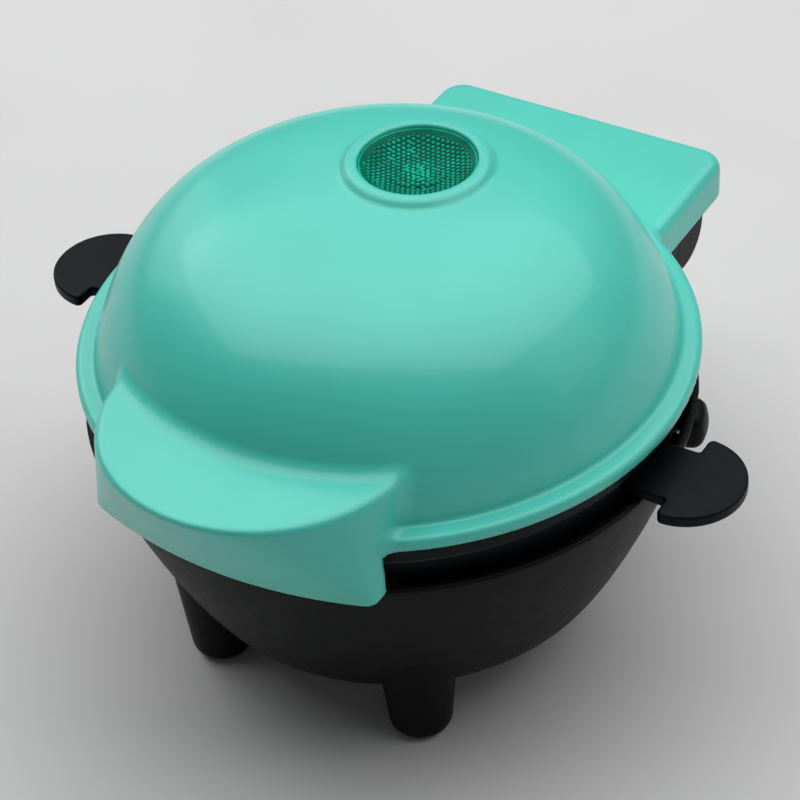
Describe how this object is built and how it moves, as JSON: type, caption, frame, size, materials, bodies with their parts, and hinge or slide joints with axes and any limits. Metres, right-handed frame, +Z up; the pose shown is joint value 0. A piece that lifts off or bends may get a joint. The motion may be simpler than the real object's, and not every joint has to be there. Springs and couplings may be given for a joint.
{
  "type": "donut maker",
  "caption": "Small round clamshell donut maker: a domed hinged lid with a lens window and lift handle over a bowl-shaped base on feet, with ring-mould plates.",
  "frame": {"origin": "centre of the whole object's footprint at table height, under the feet's pads", "axes": "+Z up; -Y towards the user, where the lid's handle is; +Y towards the hinge; +X to the user's right"},
  "size_m": [0.19, 0.194, 0.1211],
  "materials": {
    "mint_gloss": "gloss",
    "green_lens": "gloss",
    "white_plastic": "satin",
    "black_plastic": "satin",
    "charcoal_plastic": "satin",
    "nonstick": "satin",
    "bright_sheet": "satin",
    "zinc_steel": "satin",
    "heater_sheath": "matte",
    "spring_steel": "gloss",
    "circuit_board": "satin",
    "lamp_glass": "gloss",
    "glass_braid": "matte",
    "ceramic": "matte",
    "foot_rubber": "matte"
  },
  "bodies": {
    "base": {"hinge_pin": "zinc_steel", "base_bowl": "charcoal_plastic", "bottom_cover": "charcoal_plastic", "bottom_cover_screws": "zinc_steel", "foot_front_left": "charcoal_plastic", "foot_front_right": "charcoal_plastic", "foot_rear_left": "charcoal_plastic", "foot_rear_right": "charcoal_plastic", "foot_pads": "foot_rubber", "foot_screws": "zinc_steel", "base_frame": "black_plastic", "base_frame_screws": "zinc_steel", "lower_plate": "nonstick", "grip_right": "black_plastic", "lower_plate_clips": "spring_steel", "lower_heater": "heater_sheath", "lower_heater_clips": "bright_sheet", "lower_reflector": "bright_sheet", "lower_thermostat": "ceramic", "lower_thermostat_screws": "zinc_steel", "thermal_fuse": "bright_sheet", "fuse_clip": "bright_sheet", "terminal_block": "ceramic", "terminal_screws": "zinc_steel", "base_wiring": "glass_braid", "cord_gland": "black_plastic", "release_spring": "spring_steel"},
    "lid": {"lid_shell": "mint_gloss", "indicator_lens": "green_lens", "lens_diffuser": "white_plastic", "lamp_cup": "white_plastic", "lamp_board": "circuit_board", "indicator_lamps": "lamp_glass", "lamp_screws": "zinc_steel", "lid_frame": "black_plastic", "lid_frame_screws": "zinc_steel", "upper_plate": "nonstick", "upper_plate_clips": "spring_steel", "upper_heater": "heater_sheath", "upper_heater_clips": "bright_sheet", "upper_reflector": "bright_sheet", "upper_thermostat": "ceramic", "upper_thermostat_screws": "zinc_steel", "lid_wiring": "glass_braid", "lid_hinge_bracket": "charcoal_plastic", "hinge_screws": "zinc_steel", "grip_left": "black_plastic"},
    "button": {"release_button": "black_plastic", "release_catch": "zinc_steel"}
  },
  "joints": [
    {"name": "lid_hinge", "type": "hinge", "parent": "base", "child": "lid", "pos_m": [0, 0.0825, 0.0645], "axis": [-1, 0, 0], "range_deg": [0, 100]},
    {"name": "button_slide", "type": "slide", "parent": "base", "child": "button", "axis": [-0.9397, -0.342, 0], "range_m": [0, 0.0022], "stiffness_N_per_m": 400, "springref_m": -0.002, "deforming": ["release_spring"]}
  ]
}
